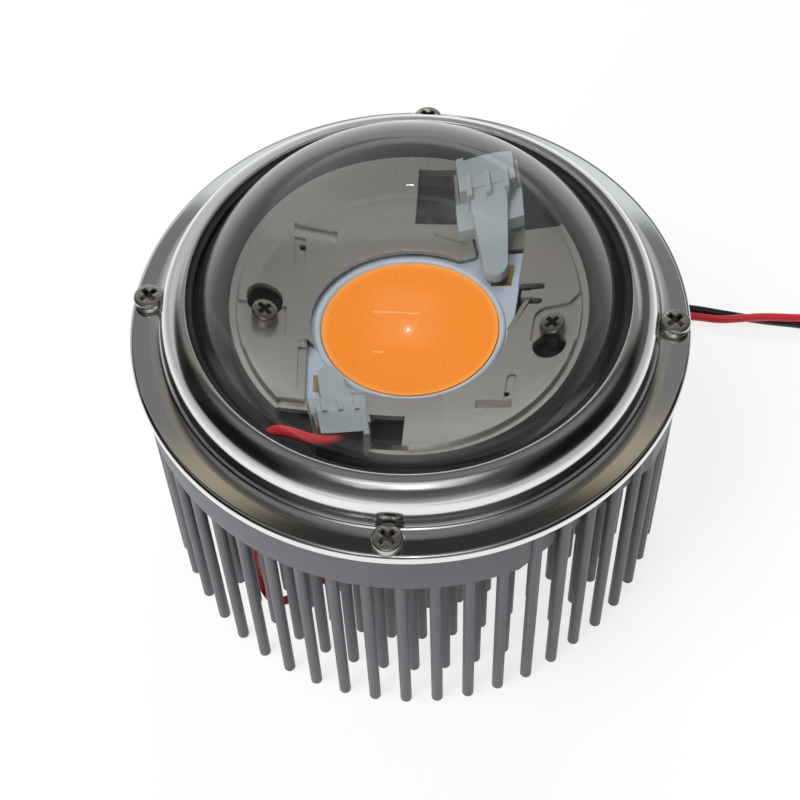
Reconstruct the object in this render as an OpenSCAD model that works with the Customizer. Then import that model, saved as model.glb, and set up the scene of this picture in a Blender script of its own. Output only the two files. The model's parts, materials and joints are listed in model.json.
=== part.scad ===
// High-power chip-on-board LED lamp head: a pin-fin heat sink, a round LED chip in a
// stamped holder, a domed glass lens in a silicone gasket, and a polished bezel that
// clamps the lens down. Z is up, and the pin tips stand on the plane Z = 0.

/* [Heat sink] */
// Distance of the plate's edge inside the bezel's edge
plate_inset = 1; // [0.5:0.1:3]
// Thickness of the base plate
plate_t = 12; // [10:0.5:16]
// Diameter of one cooling pin
pin_d = 2.6; // [2:0.1:3]
// Length of the pins below the plate
pin_l = 55; // [45:1:70]
// Chamfer on each pin tip
pin_chamfer = 0.5; // [0.2:0.1:0.8]
// Pins in the outermost ring
pin_count = 51; // [45:1:52]
// Radial distance between two rings of pins
ring_pitch = 7.9; // [7.5:0.1:8.3]
// Depth of the two side flats
flat_depth = 3; // [2:0.5:4]
// Tapping bore of the holes in the side flats
flat_hole_d = 2.5; // [2:0.1:3]
// Distance between the two holes of one flat
flat_hole_pitch = 19.6; // [19.2:0.1:23]

/* [Chip] */
// Side of the square ceramic substrate
chip_w = 34.4; // [32:0.2:36]
// Thickness of the substrate
chip_t = 1.4; // [1:0.1:2]
// Diameter of the glowing area
emitter_d = 30; // [26:0.5:31]
// Width of the dam round the glowing area
dam_w = 1.2; // [1:0.1:1.4]
// Height of the dam above the substrate
dam_h = 0.6; // [0.3:0.1:1]
// Thickness of the heat-conducting pad under the chip
pad_t = 0.3; // [0.1:0.1:0.5]

/* [Holder] */
// Outer diameter of the stamped holder
holder_d = 61.6; // [60:0.2:66]
// Height of the holder above the plate
holder_h = 3; // [2.8:0.1:4]
// Thickness of the holder's sheet
sheet_t = 0.7; // [0.5:0.1:0.8]
// Width of the low ledge round the holder
ledge_w = 1.6; // [1.2:0.1:2]
// Step from the ledge up to the top of the holder
ledge_step = 0.8; // [0.5:0.1:1]
// Distance between the two holder screws
holder_screw_pitch = 49; // [48:0.5:50]
// Head diameter of a holder screw
holder_head_d = 4.6; // [4:0.1:5]
// Shank diameter of a holder screw
holder_shank_d = 2.5; // [2:0.1:3]

/* [Terminals] */
// Turn of each terminal from the chip's side
terminal_turn = 13; // [10:1:16]
// Width of the terminal body
terminal_w = 9; // [8:0.2:9.4]
// Height of the terminal body above the plate
terminal_h = 6.5; // [6:0.1:8]
// Outer diameter of a lead
lead_d = 2.1; // [1.6:0.1:2.3]
// Diameter of the bared and tinned lead end
tip_d = 1.2; // [0.8:0.1:1.5]
// Length of the bared and tinned lead end
tip_l = 6; // [4:0.5:10]
// Diameter of the holes that take the leads through the plate
lead_hole_d = 4.4; // [3.5:0.1:4.6]

/* [Lens and gasket] */
// Thickness of the lens rim
lens_rim_t = 4.2; // [3:0.1:5]
// Width of the flat rim round the dome
rim_w = 4; // [3.5:0.1:5]
// Height of the dome above the rim
dome_rise = 29; // [24:0.5:31]
// Thickness of the glass at the centre
lens_centre_t = 23.4; // [21.6:0.2:28]
// Radius of the hollow underside
hollow_r = 103; // [90:1:140]
// Height of the lens rim above the plate
lens_seat_h = 5.8; // [5:0.1:8]
// Thickness of the gasket lip on top of the lens rim
gasket_lip_t = 0.9; // [0.6:0.1:1.2]
// Thickness of the gasket wall round the lens rim
gasket_wall = 1.35; // [1.2:0.05:1.5]

/* [Bezel] */
// Outer diameter of the bezel flange
bezel_d = 120; // [112:0.5:130]
// Thickness of the bezel flange
flange_t = 2; // [1.5:0.1:3]
// Width of the flange outside the raised bead
flange_w = 7; // [6.8:0.1:8]
// Thickness of the bead's wall at its foot
bead_wall = 2.5; // [1.5:0.1:4]
// How far the bezel lip covers the lens rim
lip_cover = 2.3; // [1.8:0.1:3]
// Thickness of the bezel lip
lip_t = 1.1; // [0.8:0.1:1.5]
// Distance of the bezel screws from the flange's edge
bezel_screw_inset = 3.6; // [3.5:0.1:4]
// Head diameter of a bezel screw
bezel_head_d = 6.5; // [6:0.1:6.6]
// Shank diameter of a bezel screw
bezel_shank_d = 3.3; // [2.5:0.1:3.5]

/* [Hidden] */
$fn = 64;

// Small overlap that lets a cut pass right through a face
eps = 0.05;
// Clearance between parts that slide together
fit = 0.1;
// Radial room round a screw shank
screw_room = 0.2;

// Heights of the stack, from the floor up
plate_bottom = pin_l;
plate_top = pin_l + plate_t;
flange_top = plate_top + flange_t;
chip_bottom = plate_top + pad_t;
chip_top = chip_bottom + chip_t;
holder_top = plate_top + holder_h;
ledge_top = holder_top - ledge_step;
rim_bottom = plate_top + lens_seat_h;
rim_top = rim_bottom + lens_rim_t;
lip_under = rim_top + gasket_lip_t;
lip_top = lip_under + lip_t;

// Sizes that follow the bezel's: the plate lines up with its flange, and the lens fits in its bead
plate_d = bezel_d - 2 * plate_inset;
flat_r = plate_d / 2 - flat_depth;
bezel_screw_r = bezel_d / 2 - bezel_screw_inset;
bead_r = bezel_d / 2 - flange_w;
gasket_out_r = bead_r - bead_wall - fit;
lens_r = gasket_out_r - gasket_wall - fit / 2;
lip_r = lens_r - lip_cover;
dome_foot_r = lens_r - rim_w;
dome_r = (dome_foot_r * dome_foot_r + dome_rise * dome_rise) / (2 * dome_rise);

// Pins: every ring has fewer pins than the one outside it and starts on the same line
ring_count = 8;
pin_step = 7;
pin_turn = 4;
pin_inset = 0.15;
pin_root = 1;
pin_ring_r = plate_d / 2 - pin_d / 2 - pin_inset;

// Side flats: each is centred on a pin of the outer ring, and the pins that stand along it are
// set in with it and run up its full height
flat_pins = [44, 18];
flat_turns = [for (k = flat_pins) pin_turn + 360 * k / pin_count];
flat_stand = pin_d * 0.3;
flat_hole_depth = 8;
flat_half_angle = acos(flat_r / (plate_d / 2));

// Holes in the plate's top
positive_hole = [-25.3, -28.1];
negative_hole = [10.2, 29];
spare_lead_hole = [17.4, 25.3];
lead_holes = [positive_hole, negative_hole, spare_lead_hole];
spare_hole = [3.1, 26.8];
spare_hole_d = 4.2;
spare_hole_depth = 8;
holder_screw_l = 7;
bezel_screw_l = 9;
screw_end_room = 1;

// Chip details
phosphor_rise = 0.1;
contact_pad = [3.4, 4];
contact_pad_t = 0.1;

// Holder details
aperture_d = emitter_d + 2 * dam_w + 1.2;
wall_w = 0.8;
key_big_d = 6.2;
key_big_at = -3.6;
key_slot_d = holder_shank_d + 0.6;
step_run = 0.4;
bay_drop = 0.4;
bay_r = 3.7;
bay_corner_r = 2.5;
bay_reach = 7.4;
bay_low = -holder_head_d / 2 - 0.3;
bay_flare = [1.6, 1.9];
top_r = holder_d / 2 - ledge_w;
window_y = top_r + step_run;
pocket = [[-0.8, 21.3], [6.4, 21.3], [6.4, 19.9], [22.2, 20.4], [28, 28], [12, 38],
          [5.4, 38], [5.4, window_y], [-0.8, window_y]];
bridge = [[4, 17.6], [23.4, 17.6], [22.6, 20.6], [4, 20.4]];
pocket_ledge = [[4.8, 18.4], [21.8, 18.8], [30, 28], [12, 38], [4.8, 38]];
side_ledge_x = 11;
lance_bar = [[-19.6, 16.4], [6.6, 2.3]];
lance_leg_w = 1.75;
lance_leg_end = 10.3;
lance_depth = 0.45;
leg_depth = 0.25;
lance_hole = [-18.3, 15];
lance_hole_d = 1.1;
strip = [[-18.7, -16.3], [1.7, 10.3]];
strip_depth = 0.3;
boss_at = [-17.9, -4.6];
boss_r = 0.8;
boss_h = 0.35;
crease_at = [2.4, 19.6];
crease_turn = -16;
crease_l = 6;
crease_w = 0.35;
spring_bay = [[17, 5.6], [2.6, 4.2]];
spring_arm_y = [6.2, 9.2];
spring_arm_end = 21.2;
spring_arm_w = 1.2;
finger_root = [19.4, 7.7];
finger_tip = [16.75, 1.2];
finger_w = 0.8;
finger_t = 0.4;
finger_room = 0.5;
slot_in = 2.8;

// Terminal details, in its own frame: Y runs outwards from the contact point
contact_point = [13.6, 11];
nose_l = 13.4;
nose_tip_w = 4;
nose_root_w = 6.2;
nose_low = chip_top - plate_top + dam_h + fit;
nose_tip_h = 1.3;
nose_room = 0.5;
shoulder_w = 10.4;
shoulder_y = [8.6, 13];
shoulder_h = 1.6;
body_y = [13.4, 19];
port_y = 14;
port_depth = 3;
port_z = 3.3;
side_wall = 1.1;
hood_t = 1.5;
rib_w = 0.8;
rib_h = 0.4;
rib_y = [11.6, 15];
end_slope = 22;
end_run = 4.4;
contact_t = 0.3;
contact_w = 2;
ear_t = 0.5;
ear_h = 3.8;
ear_y = [7.8, 16.6];

// Gasket and lens details
gasket_in_r = dome_foot_r + 0.4;
rim_chamfer = 0.6;
gasket_bevel_r = lens_r - 0.2;
gasket_bevel_z = rim_top - 1.6;
apex_z = rim_top + dome_rise;
dome_z = apex_z - dome_r;
hollow_z = apex_z - lens_centre_t - hollow_r;

// Bezel details
edge_r = 0.9;
cove_r = 2.6;
cove_end = 160;
cove_gap = 0.6;
bead_foot = [[0.3, 1.8], [0.15, 2.3]];
shoulder_z = 2.6;
lip_round = 0.3;
head_h = 2.1;
head_round = 0.6;
head_room = 0.35;
holder_head_h = 1.6;
holder_head_round = 0.4;
head_crown = 0.1;
recess_w = 0.18;
recess_l = 0.62;
recess_depth = 0.75;

// Routes of the two leads, from the terminal to the bared end
positive_route = [
    [-11.1, -21.8, 70.3], [-10.4, -24.6, 70.3], [-10.6, -27.1, 70.3], [-11.8, -28.9, 70.3],
    [-13.8, -29.8, 70.3], [-15.8, -29.7, 70.2], [-18.5, -28.8, 70.1], [-21, -28, 69.8],
    [-23.2, -27.8, 69.2], [-24.7, -27.9, 67.6], [-25.3, -28.1, 65.4], [-25.3, -28.1, 54], [-27, -28.1, 43],
    [-30.6, -28.5, 33], [-34, -29.2, 22], [-35.2, -29.6, 12], [-35.2, -30, 6],
    [-34.6, -31, 2.6], [-33.2, -33, 1.3], [-31.2, -35, 1.2], [-28.6, -35.3, 1.2],
    [-26, -33.8, 1.2], [-22.4, -30.8, 1.2], [-18.4, -28.4, 1.2], [-14.3, -27, 1.2],
    [-9.3, -28, 1.2], [-2.6, -29.8, 1.2], [4.2, -29.7, 1.2], [10.7, -28, 1.2],
    [16.7, -24.8, 1.2], [21.9, -20.4, 1.2], [25.9, -15, 1.2], [28.6, -8.8, 1.2],
    [29.9, -2.1, 1.2], [29.6, 4.7, 1.2], [27.8, 11.2, 1.2], [25.2, 16.2, 1.2],
    [23.2, 20, 1.2], [22.9, 22.4, 1.2], [23.7, 24.8, 1.2], [25.8, 27.9, 1.2],
    [28.4, 30.9, 1.2], [32.4, 37.9, 1.2], [37.6, 44, 1.2], [41.7, 47.2, 1.2],
    [47.5, 50.8, 1.2], [54.5, 53.6, 1.2], [62, 55.2, 1.2], [69.3, 55.6, 1.2],
    [76.7, 54.4, 2.1], [82, 54.3, 3.1], [87, 54.6, 3.6], [97.3, 54.9, 3.6],
    [104, 56.2, 2.6], [110, 57.4, 1.2], [115, 58.4, 1.2]];
negative_route = [
    [11.1, 21.8, 70.3], [10.4, 24.6, 70.3], [10.2, 26.8, 69.7], [10.1, 28.4, 68.2],
    [10.1, 29, 66], [10.2, 29, 54], [11.4, 28.1, 42], [13.4, 27.3, 28],
    [15.3, 26.4, 15], [16.6, 26, 7], [17.3, 26.6, 3.6], [18.3, 28.1, 1.6],
    [19.6, 30.4, 1.2], [21.2, 32.9, 1.2], [23, 35.5, 1.2], [24.8, 38.8, 1.2],
    [26.5, 42.1, 1.2], [28.9, 45.4, 1.2], [31.8, 48.3, 1.2], [35.8, 51.8, 1.2],
    [41, 55.2, 1.2], [48, 57.6, 1.2], [56, 58.6, 1.2], [63, 58.5, 1.2],
    [69.3, 58.1, 1.2], [76.7, 57, 1.2], [87, 55.5, 1.2], [97.3, 54.6, 1.2],
    [106, 53.4, 1.2], [113, 52.2, 1.2]];

// Points of an arc about c, from angle a to angle b
function arc(c, r, a, b, n = 8) =
    [for (i = [0:n]) let (t = a + (b - a) * i / n) c + r * [cos(t), sin(t)]];

function unit(v) = v / norm(v);

// Direction of a route at point i
function heading(p, i) = unit(p[min(i + 1, len(p) - 1)] - p[max(i - 1, 0)]);

// Side vectors carried along a route without twist
function side_vectors(p, i = 0, side = [0.2, 0.3, 1]) =
    i == len(p) ? [] :
    let (h = heading(p, i), s = unit(side - (side * h) * h))
    concat([s], side_vectors(p, i + 1, s));

// Angle of a pin from the nearest side flat
function from_flat(a) =
    min([for (f = flat_turns) abs((((a - f) % 360) + 540) % 360 - 180)]);

// Radius at which a pin of the outer ring stands
function outer_pin_r(a) =
    from_flat(a) < flat_half_angle
        ? min(pin_ring_r, (flat_r + flat_stand) / cos(from_flat(a))) : pin_ring_r;

// Whether a pin would stand in one of the lead holes
function in_lead_hole(r, a) =
    min([for (p = lead_holes) norm(p - r * [cos(a), sin(a)])]) < lead_hole_d / 2;

// A set of two, turned half round from each other
module both() {
    children();
    rotate([0, 0, 180]) children();
}

// Bezel screw places
module at_bezel_screws() {
    for (a = [0:90:270]) rotate([0, 0, a]) translate([bezel_screw_r, 0, 0]) children();
}

// Frame of the negative terminal: origin on the plate below the contact point
module at_terminal() {
    translate([contact_point.x, contact_point.y, plate_top])
        rotate([0, 0, terminal_turn]) children();
}

// One cooling pin with a chamfered tip
module pin(top) {
    r = pin_d / 2;
    rotate_extrude($fn = 24)
        polygon([[0, 0], [r - pin_chamfer, 0], [r, pin_chamfer], [r, top], [0, top]]);
}

module pin_field() {
    for (i = [0:ring_count - 1]) {
        n = pin_count - pin_step * i;
        for (k = [0:n - 1]) {
            a = pin_turn + 360 * k / n;
            r = i == 0 ? outer_pin_r(a) : pin_ring_r - ring_pitch * i;
            along_flat = i == 0 && from_flat(a) < flat_half_angle;
            if (!in_lead_hole(r, a)) rotate([0, 0, a]) translate([r, 0, 0])
                pin(along_flat ? plate_top : plate_bottom + pin_root);
        }
    }
}

// Base plate with its two side flats
module base_plate() {
    difference() {
        translate([0, 0, plate_bottom]) cylinder(h = plate_t, d = plate_d, $fn = 128);
        for (f = flat_turns) rotate([0, 0, f])
            translate([flat_r, -plate_d / 2, plate_bottom - eps])
                cube([plate_d, plate_d, plate_t + 2 * eps]);
    }
}

// Blind hole drilled down from the plate's top
module plate_drill(d, depth) {
    translate([0, 0, plate_top - depth]) cylinder(h = depth + eps, d = d);
}

module heat_sink() {
    color("dimgray") difference() {
        union() {
            base_plate();
            pin_field();
        }
        at_bezel_screws() plate_drill(bezel_shank_d + screw_room, bezel_screw_l + screw_end_room);
        both() {
            translate([holder_screw_pitch / 2, 0, 0])
                plate_drill(holder_shank_d + screw_room, holder_screw_l + screw_end_room);
            translate(spare_hole) plate_drill(spare_hole_d, spare_hole_depth);
        }
        for (p = lead_holes)
            translate([p.x, p.y, plate_bottom - eps])
                cylinder(h = plate_t + 2 * eps, d = lead_hole_d);
        for (f = flat_turns, s = [-1, 1]) rotate([0, 0, f])
            translate([flat_r - flat_hole_depth, s * flat_hole_pitch / 2, plate_bottom + plate_t / 2])
                rotate([0, 90, 0]) cylinder(h = flat_hole_depth + pin_d, d = flat_hole_d);
    }
}

module thermal_pad() {
    color("lightgray") translate([-chip_w / 2, -chip_w / 2, plate_top])
        cube([chip_w, chip_w, pad_t]);
}

module chip_substrate() {
    color("aliceblue") translate([-chip_w / 2, -chip_w / 2, chip_bottom])
        cube([chip_w, chip_w, chip_t]);
}

module chip_dam() {
    r = emitter_d / 2;
    color("lightsteelblue") translate([0, 0, chip_top])
        rotate_extrude($fn = 96)
            translate([r, 0])
                polygon(concat([[0, 0], [dam_w, 0]],
                    [for (i = [1:7]) [dam_w / 2 * (1 + cos(i * 180 / 8)), dam_h * sin(i * 180 / 8)]]));
}

module chip_phosphor() {
    color("orange") translate([0, 0, chip_top])
        cylinder(h = dam_h - phosphor_rise, d = emitter_d - fit, $fn = 96);
}

module chip_contact_pads() {
    color("goldenrod") both()
        translate([contact_point.x - contact_pad.x / 3, contact_point.y, chip_top])
            cube([contact_pad.x, contact_pad.y, contact_pad_t]);
}

// Plan of the nose of a terminal, grown by a margin
module nose_plan(margin) {
    translate([0, nose_tip_w / 2]) circle(d = nose_tip_w + 2 * margin);
    polygon([[-nose_tip_w / 2 - margin, nose_tip_w / 2], [nose_tip_w / 2 + margin, nose_tip_w / 2],
             [nose_root_w / 2 + margin, nose_l], [-nose_root_w / 2 - margin, nose_l]]);
}

// Openings that both levels of the holder share
module holder_openings() {
    circle(d = aperture_d, $fn = 96);
    both() {
        polygon(pocket);
        translate(contact_point) rotate(terminal_turn) nose_plan(nose_room);
        polygon([[6.7, 15.4], [chip_w / 2, 4], [chip_w / 2, 20.4], [9.5, 20.4], [10, 16.3]]);
    }
}

// Shallow bay that a holder screw's head sits in, open to the holder's edge
module screw_bay() {
    translate([holder_screw_pitch / 2, 0])
        polygon(concat([[bay_reach, bay_low], [bay_reach, bay_reach], [bay_r, bay_reach],
                        [bay_r - bay_flare.x, bay_r + bay_flare.y]],
                       arc([bay_corner_r - bay_r, bay_corner_r], bay_corner_r, 90, 180),
                       [[-bay_r, bay_low]]));
}

// Keyhole that the holder is dropped over a loose screw with, then slid under its head
module keyhole() {
    translate([holder_screw_pitch / 2, key_big_at]) circle(d = key_big_d);
    translate([holder_screw_pitch / 2, 0]) circle(d = key_slot_d);
    translate([(holder_screw_pitch - key_slot_d) / 2, key_big_at])
        square([key_slot_d, -key_big_at]);
}

// Plan of the holder's raised top, with or without the screw bays
module holder_top_plan(bays) {
    difference() {
        circle(r = top_r + step_run, $fn = 128);
        holder_openings();
        both() {
            keyhole();
            intersection() {
                polygon(pocket_ledge);
                translate([side_ledge_x, 0]) square(holder_d);
            }
            if (bays) screw_bay();
        }
    }
}

// Raised top of the holder, drawn up from the ledge by a sloping wall
module holder_plateau() {
    intersection() {
        cylinder(h = ledge_step, r1 = top_r + step_run, r2 = top_r, $fn = 128);
        union() {
            linear_extrude(ledge_step) holder_top_plan(true);
            linear_extrude(ledge_step - bay_drop) holder_top_plan(false);
        }
    }
}

// Low sheet of the holder: the ledge and the seats of the screws
module holder_ledge() {
    difference() {
        circle(d = holder_d, $fn = 128);
        difference() {
            circle(r = top_r - wall_w, $fn = 128);
            both() {
                translate([holder_screw_pitch / 2, 0]) circle(r = bay_r + wall_w);
                polygon(pocket_ledge);
            }
        }
        holder_openings();
        both() keyhole();
    }
    both() polygon(bridge);
}

// L-shaped lance in the holder: a bar with a sloping floor and a shallow round-ended leg
module lance() {
    bar = lance_bar[0];
    size = lance_bar[1];
    translate([bar.x, bar.y, holder_top]) rotate([0, 90, 0])
        linear_extrude(size.x) polygon([[-eps, 0], [lance_depth, size.y], [-eps, size.y]]);
    translate([bar.x, lance_leg_end + lance_leg_w / 2, holder_top - leg_depth])
        cube([lance_leg_w, bar.y - lance_leg_end - lance_leg_w / 2 + eps, 1]);
    translate([bar.x + lance_leg_w / 2, lance_leg_end + lance_leg_w / 2, holder_top - leg_depth])
        cylinder(h = 1, d = lance_leg_w);
    translate([lance_hole.x, lance_hole.y, ledge_top - eps]) cylinder(h = holder_h, d = lance_hole_d);
}

// E-shaped cut that frees the root of the spring finger
module spring_cut() {
    translate(spring_bay[0]) square(spring_bay[1]);
    for (y = spring_arm_y) {
        translate([spring_bay[0].x, y - spring_arm_w / 2])
            square([spring_arm_end - spring_bay[0].x, spring_arm_w]);
        translate([spring_arm_end, y]) circle(d = spring_arm_w);
    }
}

// Frame of the spring finger's plan: X runs from its root to its tip
module at_finger() {
    run = finger_tip - finger_root;
    translate(finger_root) rotate(atan2(run.y, run.x)) children();
}

// Slot that lets the spring finger down to the chip, open to the holder's aperture
module finger_slot() {
    at_finger() translate([0, -slot_in])
        square([norm(finger_tip - finger_root) + finger_room, slot_in + finger_w / 2 + finger_room]);
}

// Spring finger that reaches down from the holder onto the edge of the chip
module spring_finger() {
    root_z = holder_top - sheet_t;
    run = norm(finger_tip - finger_root);
    drop = root_z - chip_top - fit;
    translate([0, 0, root_z]) at_finger() rotate([0, atan2(drop, run), 0])
        translate([-0.6, -finger_w / 2, 0]) cube([norm([run, drop]) + 0.6, finger_w, finger_t]);
    translate([finger_root.x, finger_root.y, root_z + sheet_t / 2])
        cube([2.8, 1.4, sheet_t], center = true);
}

module holder_frame() {
    color("silver") difference() {
        union() {
            translate([0, 0, ledge_top - sheet_t]) linear_extrude(sheet_t) holder_ledge();
            translate([0, 0, ledge_top]) holder_plateau();
            translate([boss_at.x, boss_at.y, holder_top + boss_h - boss_r]) intersection() {
                sphere(r = boss_r, $fn = 32);
                translate([-boss_r, -boss_r, boss_r - boss_h - eps]) cube(2 * boss_r);
            }
            difference() {
                translate([0, 0, plate_top]) cylinder(h = ledge_top - plate_top, d = holder_d, $fn = 128);
                translate([0, 0, plate_top - eps])
                    cylinder(h = holder_h, d = holder_d - 2 * wall_w, $fn = 128);
                both() translate([0, 0, plate_top - eps]) linear_extrude(holder_h) polygon(pocket);
            }
            both() at_terminal() for (s = [-1, 1])
                translate([s * (terminal_w / 2 + fit + ear_t / 2) - ear_t / 2, 0,
                           ledge_top - sheet_t - plate_top]) {
                    translate([0, ear_y[0], 0]) cube([ear_t, ear_y[1] - ear_y[0], sheet_t]);
                    translate([0, shoulder_y[1] + fit, 0])
                        cube([ear_t, ear_y[1] - shoulder_y[1] - fit, ear_h]);
                }
        }
        both() lance();
        translate([0, 0, ledge_top - sheet_t - eps]) linear_extrude(holder_h) {
            spring_cut();
            finger_slot();
        }
        translate([strip[0].x, strip[0].y, holder_top - strip_depth]) cube([strip[1].x, strip[1].y, 1]);
        translate([crease_at.x, crease_at.y, holder_top]) rotate([0, 0, crease_turn]) rotate([45, 0, 0])
            translate([0, -crease_w / 2, -crease_w / 2]) cube([crease_l, crease_w, crease_w]);
    }
    color("silver") spring_finger();
}

// Pan-head screw with a cross recess, its head's underside at Z = 0
module pan_screw(head_d, head_height, shank_d, shank_l, round_r) {
    difference() {
        union() {
            rotate_extrude($fn = 64)
                polygon(concat([[0, 0], [head_d / 2, 0]],
                    arc([head_d / 2 - round_r, head_height - round_r], round_r, 0, 80, 6),
                    [[0, head_height + head_crown]]));
            translate([0, 0, -shank_l]) cylinder(h = shank_l + eps, d = shank_d, $fn = 32);
        }
        for (a = [45, 135]) rotate([0, 0, a])
            translate([-head_d * recess_l / 2, -head_d * recess_w / 2, head_height * (1 - recess_depth)])
                cube([head_d * recess_l, head_d * recess_w, head_height]);
    }
}

module holder_screws() {
    seat_z = holder_top - bay_drop;
    color("lightgray") both() translate([holder_screw_pitch / 2, 0, seat_z])
        pan_screw(holder_head_d, holder_head_h, holder_shank_d,
                  holder_screw_l + seat_z - plate_top, holder_head_round);
}

// White insulating body of a terminal, in the terminal's own frame
module terminal_housing() {
    slope = atan2(terminal_h - nose_low - nose_tip_h, nose_l);
    difference() {
        union() {
            difference() {
                translate([0, 0, nose_low]) linear_extrude(terminal_h - nose_low) nose_plan(0);
                translate([-terminal_w, 0, nose_low + nose_tip_h]) rotate([slope, 0, 0])
                    translate([0, -nose_l, 0]) cube([2 * terminal_w, 3 * nose_l, terminal_h]);
            }
            translate([-shoulder_w / 2, shoulder_y[0], holder_h])
                cube([shoulder_w, shoulder_y[1] - shoulder_y[0], shoulder_h]);
            translate([-terminal_w / 2, body_y[0], 0])
                cube([terminal_w, body_y[1] - body_y[0], terminal_h]);
            translate([-terminal_w / 2, shoulder_y[1] - eps, holder_h])
                cube([terminal_w, body_y[0] - shoulder_y[1] + 2 * eps, terminal_h - holder_h]);
            for (s = [-1, 0, 1])
                translate([s * terminal_w / 3 - rib_w / 2, rib_y[0], terminal_h - rib_h - shoulder_h])
                    cube([rib_w, rib_y[1] - rib_y[0], 2 * rib_h + shoulder_h]);
        }
        translate([-terminal_w / 2 + side_wall, port_y, -eps])
            cube([terminal_w, body_y[1], terminal_h - hood_t]);
        translate([0, port_y - port_depth, port_z]) rotate([-90, 0, 0])
            cylinder(h = port_depth + 1, d = lead_d + 2 * fit, $fn = 32);
        translate([-terminal_w, body_y[1] - end_run, terminal_h]) rotate([-end_slope, 0, 0])
            cube([2 * terminal_w, 2 * end_run, terminal_h]);
        contact_strip(fit);
    }
}

// Contact strip from the wire port down to the chip's pad, grown by a margin
module contact_strip(margin) {
    low = chip_top - plate_top + contact_pad_t;
    rise = atan2(port_z - contact_t - low, port_y - port_depth - 1);
    translate([0, 1, low]) rotate([rise, 0, 0])
        translate([-contact_w / 2 - margin, -margin, -margin])
            cube([contact_w + 2 * margin, port_y - port_depth - 1 + margin, contact_t + 2 * margin]);
}

module negative_terminal() {
    color("ghostwhite") at_terminal() terminal_housing();
}

module positive_terminal() {
    color("ghostwhite") rotate([0, 0, 180]) at_terminal() terminal_housing();
}

module negative_contact() {
    color("gold") at_terminal() contact_strip(0);
}

module positive_contact() {
    color("gold") rotate([0, 0, 180]) at_terminal() contact_strip(0);
}

// Domed lens with a flat rim and a hollow underside
module lens() {
    color("lightcyan", 0.5) difference() {
        union() {
            intersection() {
                translate([0, 0, dome_z]) sphere(r = dome_r, $fn = 128);
                translate([0, 0, rim_top - lens_rim_t / 2]) cylinder(h = 2 * dome_r, r = 2 * dome_r);
            }
            translate([0, 0, rim_bottom]) cylinder(h = lens_rim_t - rim_chamfer, r = lens_r, $fn = 128);
            translate([0, 0, rim_top - rim_chamfer])
                cylinder(h = rim_chamfer, r1 = lens_r, r2 = lens_r - rim_chamfer, $fn = 128);
        }
        translate([0, 0, hollow_z]) sphere(r = hollow_r, $fn = 256);
    }
}

// Silicone ring that carries the lens above the plate and wraps its rim
module lens_gasket() {
    seat_r = lens_r + fit / 2;
    color([0.08, 0.08, 0.09]) rotate_extrude($fn = 128)
        polygon([[gasket_in_r, plate_top], [gasket_out_r, plate_top], [gasket_out_r, gasket_bevel_z],
                 [gasket_bevel_r, lip_under], [gasket_in_r, lip_under], [gasket_in_r, rim_top],
                 [seat_r - rim_chamfer, rim_top], [seat_r, rim_top - rim_chamfer],
                 [seat_r, rim_bottom], [gasket_in_r, rim_bottom]]);
}

// Section of the bezel: rounded flange edge, cove, small shoulder, bead and lip
module bezel_section() {
    cove_r0 = bead_r + cove_r + cove_gap;
    bead_in = lip_r + lip_round;
    bead_z = flange_top + shoulder_z;
    inner_r = gasket_out_r + fit;
    polygon(concat(
        [[bezel_d / 2, plate_top]],
        arc([bezel_d / 2 - edge_r, flange_top - edge_r], edge_r, 0, 90, 6),
        arc([cove_r0, flange_top + cove_r], cove_r, 270, 360 - cove_end, 6),
        [for (p = bead_foot) [bead_r, flange_top] + p],
        [for (t = [0:7.5:90]) [bead_in + (bead_r - bead_in) * cos(t),
                               bead_z + (lip_top - bead_z) * sin(t)]],
        arc([lip_r + lip_round, lip_top - lip_round], lip_round, 120, 180, 3),
        [[lip_r, lip_under], [gasket_bevel_r + fit, lip_under],
         [inner_r, gasket_bevel_z - fit], [inner_r, plate_top]]));
}

module bezel_ring() {
    color("gainsboro") difference() {
        rotate_extrude($fn = 128) bezel_section();
        at_bezel_screws() {
            translate([0, 0, plate_top - eps])
                cylinder(h = flange_t + 1, d = bezel_shank_d + 2 * screw_room);
            translate([0, 0, flange_top]) cylinder(h = head_h + 1, d = bezel_head_d + 2 * head_room);
        }
    }
}

module bezel_screws() {
    color("lightgray") at_bezel_screws() translate([0, 0, flange_top])
        pan_screw(bezel_head_d, head_h, bezel_shank_d, bezel_screw_l + flange_t, head_round);
}

// Round lead swept along a route
module lead(route, sides = 8) {
    side = side_vectors(route);
    last = len(route) - 1;
    points = [for (i = [0:last], k = [0:sides - 1])
        let (a = 360 * k / sides, s = side[i])
        route[i] + lead_d / 2 * (cos(a) * s + sin(a) * cross(heading(route, i), s))];
    walls = [for (i = [0:last - 1], k = [0:sides - 1])
        let (m = (k + 1) % sides)
        [i * sides + k, i * sides + m, (i + 1) * sides + m, (i + 1) * sides + k]];
    ends = [[for (k = [sides - 1:-1:0]) k], [for (k = [0:sides - 1]) last * sides + k]];
    polyhedron(points, [for (f = concat(walls, ends)) [for (j = [len(f) - 1:-1:0]) f[j]]], convexity = 10);
}

// Bared and tinned end of a lead
module lead_tip(route) {
    last = len(route) - 1;
    run = route[last] - route[last - 1];
    translate(route[last]) rotate([0, 90, atan2(run.y, run.x)])
        cylinder(h = tip_l, d = tip_d, $fn = 24);
}

module positive_lead() {
    color("red") lead(positive_route);
}

module negative_lead() {
    color([0.1, 0.1, 0.1]) lead(negative_route);
}

module positive_lead_tip() {
    color("silver") lead_tip(positive_route);
}

module negative_lead_tip() {
    color("silver") lead_tip(negative_route);
}

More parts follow.
